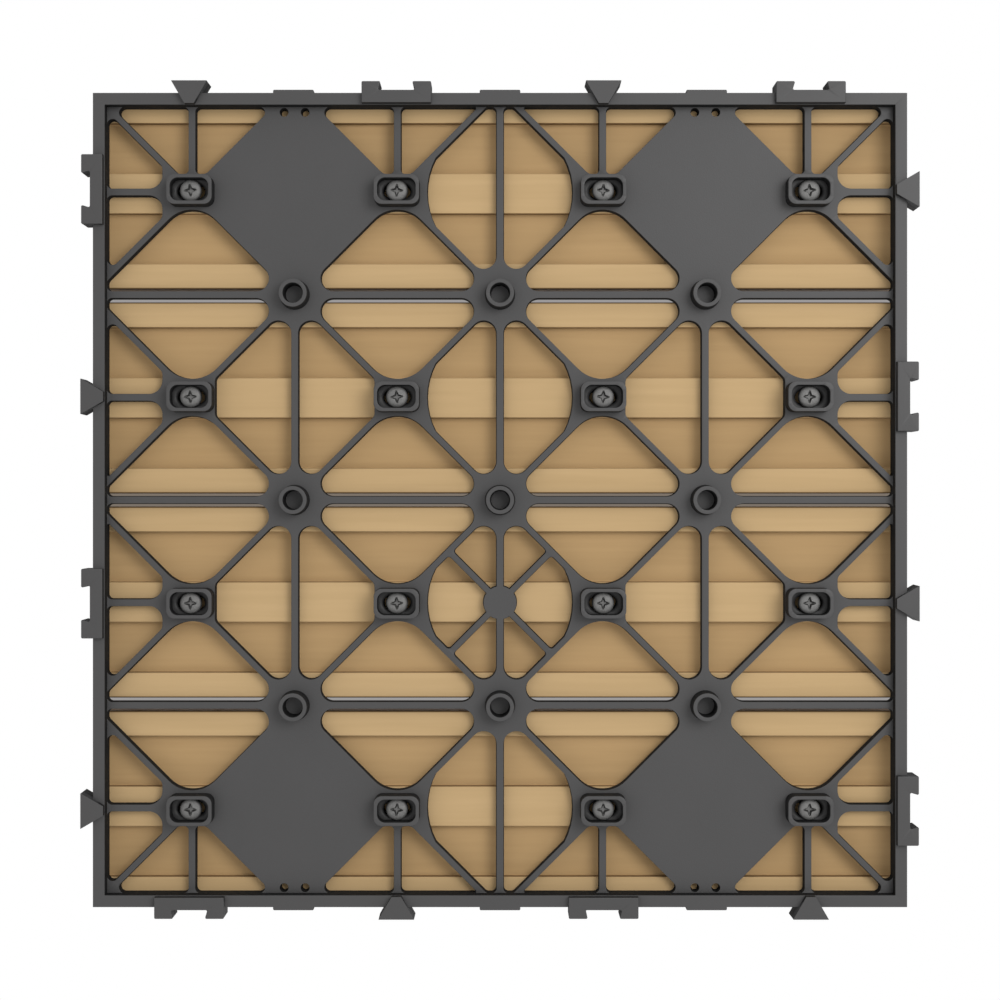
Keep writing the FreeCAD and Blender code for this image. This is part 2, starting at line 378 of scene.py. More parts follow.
def rim_opening(level, corner_round, rib_round, slant_round):
    """On the rim, to the right of the short rib; level is its side towards the boss."""
    return [
        (half_rib, level, rib_round),
        (level - brace_reach, level, corner_round),
        (rim_room - brace_reach, rim_room, slant_round),
        (half_rib, rim_room, RIM_SMALL_ROUND),
    ]


def apex_point(y):
    """One corner, a little sharper in the cells along the front and back rim."""
    return [(0.0, brace_reach, APEX_OUTER_ROUND if abs(y) > module else APEX_ROUND)]


def flat_point():
    """Two corners, along the end of the collar."""
    level = COLLAR_LENGTH / 2 + BOSS_MARGIN
    return [(brace_reach - level, level, BOSS_ROUND), (level - brace_reach, level, BOSS_ROUND)]


def bow_opening(left, right):
    """Its end towards the boss is an arc about a point on the middle rib."""
    reach = half_cell - brace_reach
    across = (reach - math.sqrt(2 * BOW_RADIUS**2 - reach**2)) / 2
    start = Vector((-across, across + brace_reach))
    centre = Vector((0.0, half_cell))
    sweep = 2 * math.asin(across / BOW_RADIUS)
    bow = [(p.x, p.y, 0.0) for p in arc_points(centre, start, sweep)]
    bow[0] = (*bow[0][:2], BOW_END_ROUND)
    bow[-1] = (*bow[-1][:2], BOW_END_ROUND)
    return rounded(bow + right + left)


def rim_is_near(x, y, quarter):
    return (y, -x, -y, x)[quarter % QUARTERS] > module


def slant_rounds(x, y, quarter):
    """Corner radii on the rim to the right and left: sharper where the slanted rib ends at a middle rib."""
    along = (x, y, -x, -y)[quarter % QUARTERS]
    towards_middle = abs(along) < module
    right = MIDDLE_ROUND if towards_middle and along < 0 else RIM_ROUND
    left = MIDDLE_ROUND if towards_middle and along > 0 else RIM_ROUND
    return right, left


def openings_towards(x, y, quarter):
    across_boards = quarter % 2 == 0
    if rim_is_near(x, y, quarter):
        if across_boards:
            size = COLLAR_WIDTH / 2 + RIM_BOSS_MARGIN, BOSS_ROUND, BOSS_SMALL_ROUND
        else:
            size = COLLAR_LENGTH / 2 + BOSS_LAND, BOSS_ROUND, SHORT_RIB_ROUND
        right, left = slant_rounds(x, y, quarter)
        return [rounded(rim_opening(*size, right)), rounded(mirrored(rim_opening(*size, left)))]
    left = mirrored(rim_side() if rim_is_near(x, y, quarter + 1) else rib_side())
    right = rim_side() if rim_is_near(x, y, quarter + 3) else rib_side()
    on_middle_rib = abs(x) < module
    if across_boards:
        return [wide_opening(apex_point(y), left, right)]
    if on_middle_rib and (quarter == 1) == (x > 0):
        return [bow_opening(left, right)]
    if abs(y) > module:
        return []
    return [wide_opening(flat_point(), left, right)]


def cell_loops(x, y):
    """One cell of the web round its boss, with its openings. At the rim the cell ends inside the wall."""
    most = rim_inner + RIM_WIDTH / 2
    reach = (-half_cell, half_cell)
    corners = ((0, 0), (1, 0), (1, 1), (0, 1))
    within = [(max(-most, min(most, x + reach[i])), max(-most, min(most, y + reach[j]))) for i, j in corners]
    loops = [[Vector(corner) for corner in within]]
    for quarter in range(QUARTERS):
        for points in openings_towards(x, y, quarter):
            loops.append(placed(placed(points, 0, 0, quarter), x, y))
    return loops


def hub_loop():
    """The round gate pad with a bar to each slanted rib round it; the bars widen where they end."""
    half_bar = BRACE_WIDTH / 2
    radius = HUB_WIDTH / 2
    lean = math.asin(half_bar / radius)
    rib = half_cell / math.sqrt(2)
    near = rib - half_bar
    wide = half_bar + 2 * BAR_ROUND
    side = [(rib, wide, 0.0), (near, wide, 0.0), (near, half_bar, BAR_ROUND)]
    bar = [(x, -y, radius) for x, y, radius in reversed(side)] + side
    corners = []
    for quarter in range(QUARTERS):
        turn = Matrix.Rotation(math.radians(45 + 90 * quarter), 2)
        corners += [(*(turn @ Vector((x, y))), corner_round) for x, y, corner_round in bar]
        start = turn @ Matrix.Rotation(lean, 2) @ Vector((radius, 0))
        corners += [(*point, 0.0) for point in arc_points(Vector((0, 0)), start, math.pi / 2 - 2 * lean)]
    return placed(rounded(corners), 0.0, boss_lines[1])


# Clips, sockets and tabs, drawn on the +y side and then turned by quarters

def clip(bm, line, quarter):
    """A dovetail that widens a little upwards, as it has to leave its mould."""
    part = bmesh.new()
    neck, tip, out = CLIP_NECK / 2, CLIP_TIP / 2, frame_half + CLIP_REACH
    right = [(neck, rim_inner + CLIP_INSET, 0.0), (tip, out, CLIP_ROUND)]
    points = rounded(right + mirrored(right))
    plate(part, [placed(points, line, 0)], 0.0, base_height - SINK, edge=CLIP_ROUND / 2)
    for vert in part.verts:
        share = 1 - vert.co.z / base_height
        vert.co.x -= math.copysign(CLIP_SPREAD * share, vert.co.x - line)
    bmesh.ops.rotate(part, verts=part.verts[:], cent=(0, 0, 0),
                     matrix=Matrix.Rotation(math.radians(90 * quarter), 3, "Z"))
    take_in(bm, part)


def socket(bm, line, quarter):
    side, mouth, inside = SOCKET_LENGTH / 2, SOCKET_MOUTH / 2, SOCKET_INSIDE / 2
    out, floor = frame_half + SOCKET_REACH, frame_half + SOCKET_FLOOR
    right = [
        (side, rim_inner + SOCKET_INSET, 0.0),
        (side, out, CORNER_ROUND),
        (mouth, out, CORNER_ROUND),
        (inside, floor, CORNER_ROUND),
    ]
    points = rounded(right + mirrored(right))
    plate(bm, [placed(placed(points, line, 0), 0, 0, quarter)], 0.0, base_height - SINK)


def tab(bm, line, quarter):
    width = TAB_REACH + TAB_ROOT
    middle = frame_half - TAB_ROOT + width / 2
    points = placed(rounded(block(TAB_LENGTH, width, CORNER_ROUND)), line, middle)
    plate(bm, [placed(points, 0, 0, quarter)], RIM_LIFT, base_height - SINK)


# Parts of the base. Fittings are joined to the web, and holes are cut out of the whole.

def make_web():
    web = bmesh.new()
    for x in boss_lines:
        for y in boss_lines:
            fill(web, cell_loops(x, y), WEB_BOTTOM)
    bmesh.ops.remove_doubles(web, verts=web.verts[:], dist=SNAP)
    thicken(web, WEB_BOTTOM, base_height, WEB_EDGE_ROUND, (True, False), WEB_DRAFT)
    return new_object("lattice_base", web)


def make_rim():
    rim = bmesh.new()
    widths = (2 * (frame_half + RIM_PROUD), 2 * rim_inner)
    loops = [rounded(block(width, width, RIM_EDGE_ROUND)) for width in widths]
    plate(rim, loops, RIM_LIFT, base_height, edge=RIM_EDGE_ROUND)
    return new_object("rim", rim)


def make_hub():
    hub = bmesh.new()
    plate(hub, [hub_loop()], WEB_BOTTOM, base_height - SINK, WEB_EDGE_ROUND, (True, False), WEB_DRAFT)
    return new_object("hub", hub)


def add_bosses(fittings, seats, holes):
    """Collars with a pocket for the screw head, and above it a seat with a slot for the shank."""
    collar = rounded(block(COLLAR_LENGTH, COLLAR_WIDTH, COLLAR_ROUND))
    pocket = rounded(block(COLLAR_LENGTH - 2 * COLLAR_WALL, COLLAR_WIDTH - 2 * COLLAR_WALL, POCKET_ROUND))
    slot = rounded(block(SLOT_LENGTH, SLOT_WIDTH, SLOT_WIDTH / 2))
    for x in boss_lines:
        for y in boss_lines:
            plate(fittings, [placed(collar, x, y), placed(pocket, x, y)], 0.0, SEAT_HEIGHT + OVERLAP,
                  COLLAR_EDGE, (True, False), COLLAR_DRAFT)
            plate(seats, [placed(collar, x, y), placed(slot, x, y)], SEAT_HEIGHT, base_height - SINK,
                  edge=SLOT_EDGE, rounded_ends=(True, False))
            plate(holes, [placed(slot, x, y)], WEB_BOTTOM - CUT_PAST, base_height + CUT_PAST, edge=0)


def add_feet(fittings, holes):
    """Cones with a conical bore. Solid and bore are both rounded at the ground."""
    foot, bore = FOOT_WIDTH / 2, FOOT_BORE / 2
    middle = FOOT_EDGE * ROUND_MIDDLE
    foot_profile = [
        (0, OVERLAP),
        (bore - OVERLAP, OVERLAP),
        (bore - OVERLAP, 0),
        (foot - FOOT_EDGE, 0),
        (foot - middle, middle),
        (foot, FOOT_EDGE),
        (FOOT_ROOT_WIDTH / 2, WEB_BOTTOM + FOOT_OVERLAP),
        (0, WEB_BOTTOM + FOOT_OVERLAP),
    ]
    bore_profile = [
        (0, -CUT_PAST),
        (bore + FOOT_EDGE, -CUT_PAST),
        (bore + FOOT_EDGE, 0),
        (bore + middle, middle),
        (bore, FOOT_EDGE),
        (FOOT_BORE_END / 2, FOOT_BORE_DEPTH),
        (0, FOOT_BORE_DEPTH),
    ]
    for x in foot_lines:
        for y in foot_lines:
            lathe(fittings, foot_profile, x, y)
            lathe(holes, bore_profile, x, y)


def add_couplings(fittings):
    """Clips and sockets take turns along each side. The tabs are on the front and back."""
    for quarter in range(QUARTERS):
        for line in boss_lines[1::2]:
            clip(fittings, line, quarter)
        for line in boss_lines[0::2]:
            socket(fittings, line, quarter)
    for quarter in (0, 2):
        for line in foot_lines:
            tab(fittings, line, quarter)


def add_drains(holes):
    """Two pairs of conical holes at the front and two at the back, in the corner plates."""
    wide, narrow = DRAIN_WIDTH / 2, DRAIN_END_WIDTH / 2
    profile = [
        (0, WEB_BOTTOM - OVERLAP),
        (wide, WEB_BOTTOM - OVERLAP),
        (wide, WEB_BOTTOM + DRAIN_STRAIGHT),
        (narrow, base_height + OVERLAP),
        (0, base_height + OVERLAP),
    ]
    for x in (foot_lines[0], foot_lines[-1]):
        for side in (-1, 1):
            for step in (-DRAIN_SPACING / 2, DRAIN_SPACING / 2):
                lathe(holes, profile, x + step, side * (rim_inner - DRAIN_SETBACK), SMALL_ROUND_STEPS)


def make_base(material):
    fittings, seats, holes = bmesh.new(), bmesh.new(), bmesh.new()
    add_bosses(fittings, seats, holes)
    add_feet(fittings, holes)
    add_couplings(fittings)
    add_drains(holes)
    base = make_web()
    combine(base, "UNION", make_rim(), make_hub(), new_object("fittings", fittings),
            new_object("seats", seats))
    combine(base, "DIFFERENCE", new_object("holes", holes))
    finish_piece(base, material, "base_plastic", "moulded_base")


# Boards, in millimetres

CHANNEL_DEPTH = 3.0
EDGE_LAND = 9.4
MIDDLE_LAND = 14.9
LAND_EDGE_ROUND = 0.45
LOWER_EDGE_ROUND = 0.6
CHANNEL_ROUND = 0.6
BOARD_EDGE_ROUND = 1.5
BOARD_END_ROUND = 0.4
PILOT_WIDTH = 4.7
PILOT_PLAY = 0.05


def make_board(row, material):
    """The profile is drawn upright across the board, drawn out to its length and then laid along x."""
    side = board_width / 2
    outer, inner = side - EDGE_LAND, MIDDLE_LAND / 2
    roof = board_bottom + CHANNEL_DEPTH
    right = [
        (inner, board_bottom, LAND_EDGE_ROUND),
        (inner, roof, CHANNEL_ROUND),
        (outer, roof, CHANNEL_ROUND),
        (outer, board_bottom, LAND_EDGE_ROUND),
        (side, board_bottom, LOWER_EDGE_ROUND),
        (side, board_top, BOARD_EDGE_ROUND),
    ]
    bm = bmesh.new()
    plate(bm, [rounded(right + mirrored(right))], -frame_half, frame_half, edge=BOARD_END_ROUND)
    laid = Matrix(((0, 0, 1, 0), (1, 0, 0, 0), (0, 1, 0, 0), (0, 0, 0, 1)))
    middle = screw_places[row, 1].y
    bmesh.ops.transform(bm, matrix=Matrix.Translation((0, middle, 0)) @ laid, verts=bm.verts[:])
    bmesh.ops.recalc_face_normals(bm, faces=bm.faces[:])
    board = new_object(f"board_{row}", bm)
    pilots = bmesh.new()
    for x in boss_lines:
        plate(pilots, [placed(ring(PILOT_WIDTH, SMALL_ROUND_STEPS), x, middle)], board_bottom - CUT_PAST,
              screw_point + PILOT_PLAY, edge=0)
    combine(board, "DIFFERENCE", new_object("pilots", pilots))
    finish_piece(board, material, "slat_composite", f"slat_{row}")


# Screws, drawn about the origin with the underside of the head at height 0, in millimetres.
# The crown of the head is given from its middle, as shares of the head's radius and of its height.

HEAD_WIDTH = 8.2
HEAD_CROWN = ((0, 1), (0.35, 0.99), (0.62, 0.95), (0.8, 0.86), (0.9, 0.74), (0.97, 0.56), (1, 0.36))
HEAD_EDGE = 0.15
SHANK_WIDTH = 4.6
CORE_WIDTH = 3.3
THREAD_PITCH = 1.7
THREAD_START = 4.0
THREAD_ROOT = 0.3
THREAD_HALF_TOOTH = 0.32
POINT_LENGTH = 4.0
RECESS_SPAN = 4.9
RECESS_TIP = 0.55
RECESS_HEART = 1.6
RECESS_DEPTH = 1.6
RECESS_RISE = 0.02
RECESS_TAPER = 0.5
MOST_TURN = 6
TURN_SEED = 11

head_height = SEAT_HEIGHT - head_bottom
shank_length = screw_point - SEAT_HEIGHT


def make_thread():
    """A pointed tooth that climbs round the core. Its root is sunk in the core."""
    thread = bmesh.new()
    turns = (shank_length - POINT_LENGTH - THREAD_START) / THREAD_PITCH
    root = CORE_WIDTH / 2 - THREAD_ROOT
    half_tooth = THREAD_PITCH * THREAD_HALF_TOOTH
    corners = [(root, -half_tooth), (SHANK_WIDTH / 2, 0), (root, half_tooth)]
    verts = [thread.verts.new((radius, 0, THREAD_START + height)) for radius, height in corners]
    edges = [thread.edges.new((verts[i - 1], verts[i])) for i in range(len(verts))]
    thread.faces.new(verts)
    steps = round(turns * SMALL_ROUND_STEPS)
    bmesh.ops.spin(thread, geom=thread.faces[:] + edges + verts, cent=(0, 0, 0), axis=(0, 0, 1),
                   dvec=(0, 0, turns * THREAD_PITCH / steps), angle=turns * 2 * math.pi, steps=steps,
                   use_duplicate=False)
    bmesh.ops.recalc_face_normals(thread, faces=thread.faces[:])
    return new_object("thread", thread)


def make_recess():
    """A star with four arms, narrower at its floor."""
    tip, heart = RECESS_SPAN / 2, RECESS_HEART / 2
    arm = [Vector((tip, -RECESS_TIP / 2)), Vector((tip, RECESS_TIP / 2)), Vector((heart, heart))]
    star = [point for quarter in range(QUARTERS) for point in placed(arm, 0, 0, quarter)]
    recess = bmesh.new()
    plate(recess, [star], -head_height - RECESS_RISE, RECESS_DEPTH - head_height, edge=0)
    for vert in recess.verts:
        if vert.co.z > -head_height:
            vert.co.xy *= RECESS_TAPER
    return new_object("recess", recess)


def make_screw():
    head, core = HEAD_WIDTH / 2, CORE_WIDTH / 2
    crown = [(head * across, -head_height * up) for across, up in HEAD_CROWN]
    shank = [
        (head, -HEAD_EDGE),
        (head - HEAD_EDGE, 0),
        (core, 0),
        (core, shank_length - POINT_LENGTH),
        (0, shank_length),
    ]
    body = bmesh.new()
    lathe(body, crown + shank, 0, 0)
    screw = new_object("screw", body)
    combine(screw, "UNION", make_thread())
    combine(screw, "DIFFERENCE", make_recess())
    return screw


def make_screws(material):
    """Copies of one screw, each turned a little."""
    random.seed(TURN_SEED)
    pattern = make_screw()
    for (row, column), place in screw_places.items():
        screw = bpy.data.objects.new(f"pan_screw_{row}_{column}", pattern.data.copy())
        bpy.context.scene.collection.objects.link(screw)
        turn = Matrix.Rotation(math.radians(random.uniform(-MOST_TURN, MOST_TURN)), 4, "Z")
        screw.data.transform(Matrix.Translation((place.x, place.y, SEAT_HEIGHT)) @ turn)
        finish_piece(screw, material, "screw_steel", f"screw_{row}_{column}")
    bpy.data.objects.remove(pattern)


# Colours, as linear light. A tint multiplies the colour below it.

PLASTIC = ((0.106, 0.1045, 0.1045), (0.117, 0.1145, 0.1155))
# Painted shade on the upright walls of the base.
PLASTIC_WALL_PAINTED_SHADE = (0.5, 0.51, 0.52)
# Painted shade on the walls inside the rim, darker further from the ground.
PLASTIC_DEEP_PAINTED_SHADE = (0.18, 0.18, 0.18)
FLAT_TINT = (0.68, 0.68, 0.68)
# Painted shade on the seats of the screw heads, then painted light at the ends of the bores.
SEAT_PAINTED_SHADE = (0.33, 0.33, 0.33)
BORE_PAINTED_LIGHT = (0.85, 0.85, 0.85)
WOOD = ((0.54, 0.368, 0.182), (0.606, 0.42, 0.215))
WOOD_CHANNEL_TINT = (0.88, 0.83, 0.77)
# Painted shade on the upright walls of the boards.
WOOD_WALL_PAINTED_SHADE = (0.5, 0.47, 0.44)
WOOD_EDGE_TINT = (0.32, 0.265, 0.21)
STEEL = ((0.178, 0.176, 0.172), (0.222, 0.219, 0.213))
# Painted shade on the upright sides of the screws.
STEEL_WALL_PAINTED_SHADE = (0.38, 0.38, 0.38)
FLOOR_TONE = (0.8, 0.8, 0.8)
# Painted shade of the gaps between the boards, glowing from the sheet behind them: browner in the middle
# gap, grey in the outer ones.
MIDDLE_GAP_PAINTED_SHADE = (0.2, 0.168, 0.138)
OUTER_GAP_PAINTED_SHADE = (0.335, 0.325, 0.322)
WHITE = (1.0, 1.0, 1.0)

# Surfaces. A grain has its scale per metre, its stretch along x, y and z, and its detail. The bumps are
# in metres.

PLASTIC_MOTTLE = (38.0, (1, 1, 1), 3.0)
PLASTIC_FINE = (2600.0, (1, 1, 1), 1.0)
PLASTIC_FINE_SHARE = 0.45
PLASTIC_BUMP = 0.00003
PLASTIC_ROUGHNESS = (0.42, 0.95)
WOOD_CLOUDS = (9.0, (0.25, 1, 1), 3.0)
WOOD_STREAKS = (420.0, (0.05, 1, 1), 3.0)
WOOD_STREAK_SHARE = 0.5
WOOD_BUMP = 0.00006
WOOD_ROUGHNESS = 0.72
STEEL_FINE = (1500.0, (1, 1, 1), 2.0)
STEEL_BUMP = 0.00002
STEEL_METALLIC = 0.35
STEEL_ROUGHNESS = 0.6
DULL_SPECULAR = 0.25
GRAIN_STOPS = (0.3, 0.7)

# Where masks and tones begin and end. Walls, which get painted shade, are told by the upright share of their
# normals. The rest are millimetres: the painted shade of deep walls from the ground, channels and lower
# edges from the bottom of the board, the shade from the board's side, and the blends from the seats (painted
# shade), from the web and from the ends of the bores (painted light).

WALL_NORMALS = (0.75, 0.35)
DEEP_HEIGHTS = (-4.0, 3.0)
CHANNEL_HEIGHTS = (0.5, 2.5)
LOWER_EDGE_HEIGHTS = (2.0, 1.0)
LOWER_EDGE_SHADE = (0.65, 0.325)
SEAT_BLEND = (-0.7, -0.3, 0.5)
WEB_BLEND = (-0.6, 0.1)
BORE_BLEND = (-0.1, 0.1, 0.5)


# Pieces of node trees

def feed(tree, socket, value):
    """Gives a socket an output of another node, or a number or colour of its own."""
    if isinstance(value, bpy.types.NodeSocket):
        tree.links.new(value, socket)
    else:
        socket.default_value = value


def opaque(colour):
    return (*colour, 1)


def coordinates(tree, kind="Object"):
    """The X, Y and Z outputs of the object's coordinates, or of its normals."""
    place = tree.nodes.new("ShaderNodeTexCoord")
    parts = tree.nodes.new("ShaderNodeSeparateXYZ")
    tree.links.new(place.outputs[kind], parts.inputs[0])
    return parts.outputs


def add_math(tree, operation, *values):
    node = tree.nodes.new("ShaderNodeMath")
    node.operation = operation
    for socket, value in zip(node.inputs, values):
        feed(tree, socket, value)
    return node.outputs[0]


def add_range(tree, source, ends, results=(0.0, 1.0), steps="LINEAR"):
    """From the first result to the second, as the source goes from the first end to the second."""
    node = tree.nodes.new("ShaderNodeMapRange")
    node.interpolation_type = steps
    node.inputs["From Min"].default_value, node.inputs["From Max"].default_value = ends
    node.inputs["To Min"].default_value, node.inputs["To Max"].default_value = results
    tree.links.new(source, node.inputs["Value"])
    return node.outputs["Result"]


def add_ramp(tree, source, stops):
    ramp = tree.nodes.new("ShaderNodeValToRGB")
    elements = ramp.color_ramp.elements
    while len(elements) < len(stops):
        elements.new(0.5)
    for element, (position, colour) in zip(elements, stops):
        element.position = position
        element.color = opaque(colour)
    tree.links.new(source, ramp.inputs["Fac"])
    return ramp.outputs["Color"]


def add_bump(tree, shader, source, distance):
    bump = tree.nodes.new("ShaderNodeBump")
    bump.inputs["Distance"].default_value = distance
    bump.inputs["Strength"].default_value = 1.0
    tree.links.new(source, bump.inputs["Height"])
    tree.links.new(bump.outputs["Normal"], shader.inputs["Normal"])


def add_mix(tree, first, second, share):
    mix = tree.nodes.new("ShaderNodeMix")
    mix.data_type = "FLOAT"
    mix.inputs["Factor"].default_value = share
    tree.links.new(first, mix.inputs["A"])
    tree.links.new(second, mix.inputs["B"])
    return mix.outputs["Result"]


def add_tint(tree, colour, tint, share=1.0):
    """The colour times the tint, as far as the share goes."""
    mix = tree.nodes.new("ShaderNodeMix")
    mix.data_type = "RGBA"
    mix.blend_type = "MULTIPLY"
    feed(tree, mix.inputs["Factor"], share)
    feed(tree, mix.inputs["A"], colour)
    feed(tree, mix.inputs["B"], tint)
    return mix.outputs["Result"]


# Effects that several materials share

def grain_group():
    """Fine mottling round 0.5, from object coordinates. It serves as a mask and as a height."""
    group = bpy.data.node_groups.new("fine_grain", "ShaderNodeTree")
    face = group.interface
    face.new_socket("Scale", in_out="INPUT", socket_type="NodeSocketFloat")
    face.new_socket("Stretch", in_out="INPUT", socket_type="NodeSocketVector")
    face.new_socket("Detail", in_out="INPUT", socket_type="NodeSocketFloat")
    face.new_socket("Mask", in_out="OUTPUT", socket_type="NodeSocketFloat")
    inputs = group.nodes.new("NodeGroupInput")
    outputs = group.nodes.new("NodeGroupOutput")
    place = group.nodes.new("ShaderNodeTexCoord")
    stretch = group.nodes.new("ShaderNodeVectorMath")
    stretch.operation = "MULTIPLY"
    noise = group.nodes.new("ShaderNodeTexNoise")
    group.links.new(place.outputs["Object"], stretch.inputs[0])
    group.links.new(inputs.outputs["Stretch"], stretch.inputs[1])
    group.links.new(stretch.outputs["Vector"], noise.inputs["Vector"])
    group.links.new(inputs.outputs["Scale"], noise.inputs["Scale"])
    group.links.new(inputs.outputs["Detail"], noise.inputs["Detail"])
    group.links.new(noise.outputs["Fac"], outputs.inputs["Mask"])
    return group


def wall_group():
    """A mask of the upright walls, which the materials darken with painted shade."""
    group = bpy.data.node_groups.new("upright_walls", "ShaderNodeTree")
    group.interface.new_socket("Mask", in_out="OUTPUT", socket_type="NodeSocketFloat")
    outputs = group.nodes.new("NodeGroupOutput")
    lean = add_math(group, "ABSOLUTE", coordinates(group, "Normal")["Z"])
    group.links.new(add_range(group, lean, WALL_NORMALS), outputs.inputs["Mask"])
    return group


def add_group(tree, group):
    node = tree.nodes.new("ShaderNodeGroup")
    node.node_tree = group
    return node


def add_grain(tree, look):
    node = add_group(tree, grain)
    for name, value in zip(("Scale", "Stretch", "Detail"), look):
        node.inputs[name].default_value = value
    return node.outputs["Mask"]


def wall_mask(tree):
    return add_group(tree, walls).outputs["Mask"]


# Masks and tones of single materials

def height_mask(tree, heights, ground=0.0):
    """From 0 at the first height above the ground to 1 at the second."""
    ends = [(ground + height) * MM for height in heights]
    return add_range(tree, coordinates(tree)["Z"], ends, steps="SMOOTHSTEP")


def inside_rim(tree):
    """1 inside the middle of the rim and 0 outside it."""
    place = coordinates(tree)
    away = [add_math(tree, "ABSOLUTE", place[axis]) for axis in ("X", "Y")]
    return add_math(tree, "LESS_THAN", add_math(tree, "MAXIMUM", *away), (rim_inner + RIM_WIDTH / 2) * MM)


def height_tones(tree):
    """Tones of the flat faces: painted shade darkens the seats of the screw heads, painted light lightens
    the ends of the bores.
    """
    bands = (
        (SEAT_HEIGHT, SEAT_BLEND, (FLAT_TINT, SEAT_PAINTED_SHADE, SEAT_PAINTED_SHADE)),
        (WEB_BOTTOM, WEB_BLEND, (FLAT_TINT, FLAT_TINT)),
        (FOOT_BORE_DEPTH, BORE_BLEND, (BORE_PAINTED_LIGHT, BORE_PAINTED_LIGHT, FLAT_TINT)),
    )
    stops = []
    for level, steps, tones in bands:
        stops += [((level + step) / base_height, tone) for step, tone in zip(steps, tones)]
    return add_ramp(tree, add_range(tree, coordinates(tree)["Z"], (0.0, base_height * MM)), stops)


def board_edges(tree):
    """1 along the lower edges of the boards, where the gaps between the boards take the light away."""
    away = add_math(tree, "PINGPONG", coordinates(tree)["Y"], half_cell * MM)
    side = half_cell - board_width / 2
    near = add_range(tree, away, [(side + reach) * MM for reach in LOWER_EDGE_SHADE])
    return add_math(tree, "MULTIPLY", near, height_mask(tree, LOWER_EDGE_HEIGHTS, board_bottom))


# Materials

def new_material(name):
    material = bpy.data.materials.new(name)
    material.use_nodes = True
    tree = material.node_tree
    tree.nodes.clear()
    output = tree.nodes.new("ShaderNodeOutputMaterial")
    return material, tree, output.inputs["Surface"]


def new_finish(name):
    material, tree, surface = new_material(name)
    shader = tree.nodes.new("ShaderNodeBsdfPrincipled")
    tree.links.new(shader.outputs["BSDF"], surface)
    return material, tree, shader


def plastic_material():
    material, tree, shader = new_finish("moulded_plastic")
    mottle = add_grain(tree, PLASTIC_MOTTLE)
    fine = add_grain(tree, PLASTIC_FINE)
    both = add_mix(tree, mottle, fine, PLASTIC_FINE_SHARE)
    colour = add_ramp(tree, both, list(zip(GRAIN_STOPS, PLASTIC)))
    colour = add_tint(tree, colour, height_tones(tree))
    wall = wall_mask(tree)
    inner = add_math(tree, "MULTIPLY", wall, inside_rim(tree))
    deep = add_math(tree, "MULTIPLY", inner, height_mask(tree, DEEP_HEIGHTS))
    # Painted shade: the upright walls are coloured darker.
    colour = add_tint(tree, colour, opaque(PLASTIC_WALL_PAINTED_SHADE), wall)
    # Painted shade: inside the rim, walls further from the ground are darkened more.
    colour = add_tint(tree, colour, opaque(PLASTIC_DEEP_PAINTED_SHADE), deep)
    tree.links.new(colour, shader.inputs["Base Color"])
    roughness = add_range(tree, wall, (0.0, 1.0), PLASTIC_ROUGHNESS)
    tree.links.new(roughness, shader.inputs["Roughness"])
    shader.inputs["Specular IOR Level"].default_value = DULL_SPECULAR
    add_bump(tree, shader, fine, PLASTIC_BUMP)
    return material


def composite_material():
    material, tree, shader = new_finish("wood_composite")
    streaks = add_grain(tree, WOOD_STREAKS)
    both = add_mix(tree, add_grain(tree, WOOD_CLOUDS), streaks, WOOD_STREAK_SHARE)
    colour = add_ramp(tree, both, list(zip(GRAIN_STOPS, WOOD)))
    # The channels between the lands are coloured darker than the lands.
    channel = height_mask(tree, CHANNEL_HEIGHTS, board_bottom)
    colour = add_tint(tree, colour, opaque(WOOD_CHANNEL_TINT), channel)
    # Painted shade: the upright walls of the boards are coloured darker.
    colour = add_tint(tree, colour, opaque(WOOD_WALL_PAINTED_SHADE), wall_mask(tree))
    colour = add_tint(tree, colour, opaque(WOOD_EDGE_TINT), board_edges(tree))
    tree.links.new(colour, shader.inputs["Base Color"])
    shader.inputs["Roughness"].default_value = WOOD_ROUGHNESS
    shader.inputs["Specular IOR Level"].default_value = DULL_SPECULAR
    add_bump(tree, shader, streaks, WOOD_BUMP)
    return material


def steel_material():
    material, tree, shader = new_finish("zinc_steel")
    fine = add_grain(tree, STEEL_FINE)
    colour = add_ramp(tree, fine, list(zip(GRAIN_STOPS, STEEL)))
    # Painted shade: the upright sides of the screws are coloured darker.
    colour = add_tint(tree, colour, opaque(STEEL_WALL_PAINTED_SHADE), wall_mask(tree))
    tree.links.new(colour, shader.inputs["Base Color"])
    shader.inputs["Metallic"].default_value = STEEL_METALLIC
    shader.inputs["Roughness"].default_value = STEEL_ROUGHNESS
    add_bump(tree, shader, fine, STEEL_BUMP)
    return material


# Stage, in metres: a pale floor that shows only from above, and a sheet behind the boards that shows only
# from below, so that the gaps between the boards end on a surface; that sheet glows with painted shade,
# browner behind the middle gap and grey behind the outer ones. Neither takes light from the object.
# Each lamp has its name, place, width and power in watts.

FLOOR_SIZE = 6.0
BACKING_LIFT = 0.0005
BACKING_MODULES = 2.5
CAMERA_DISTANCE = 0.672
LENS = 65.86
SENSOR_WIDTH = 36.0
AMBIENT = 0.7
LAMPS = (
    ("key_below", (-0.5, 0.3, -0.9), 0.6, 4.4),
    ("key_above", (-0.7, -0.9, 1.3), 0.9, 12.0),
)


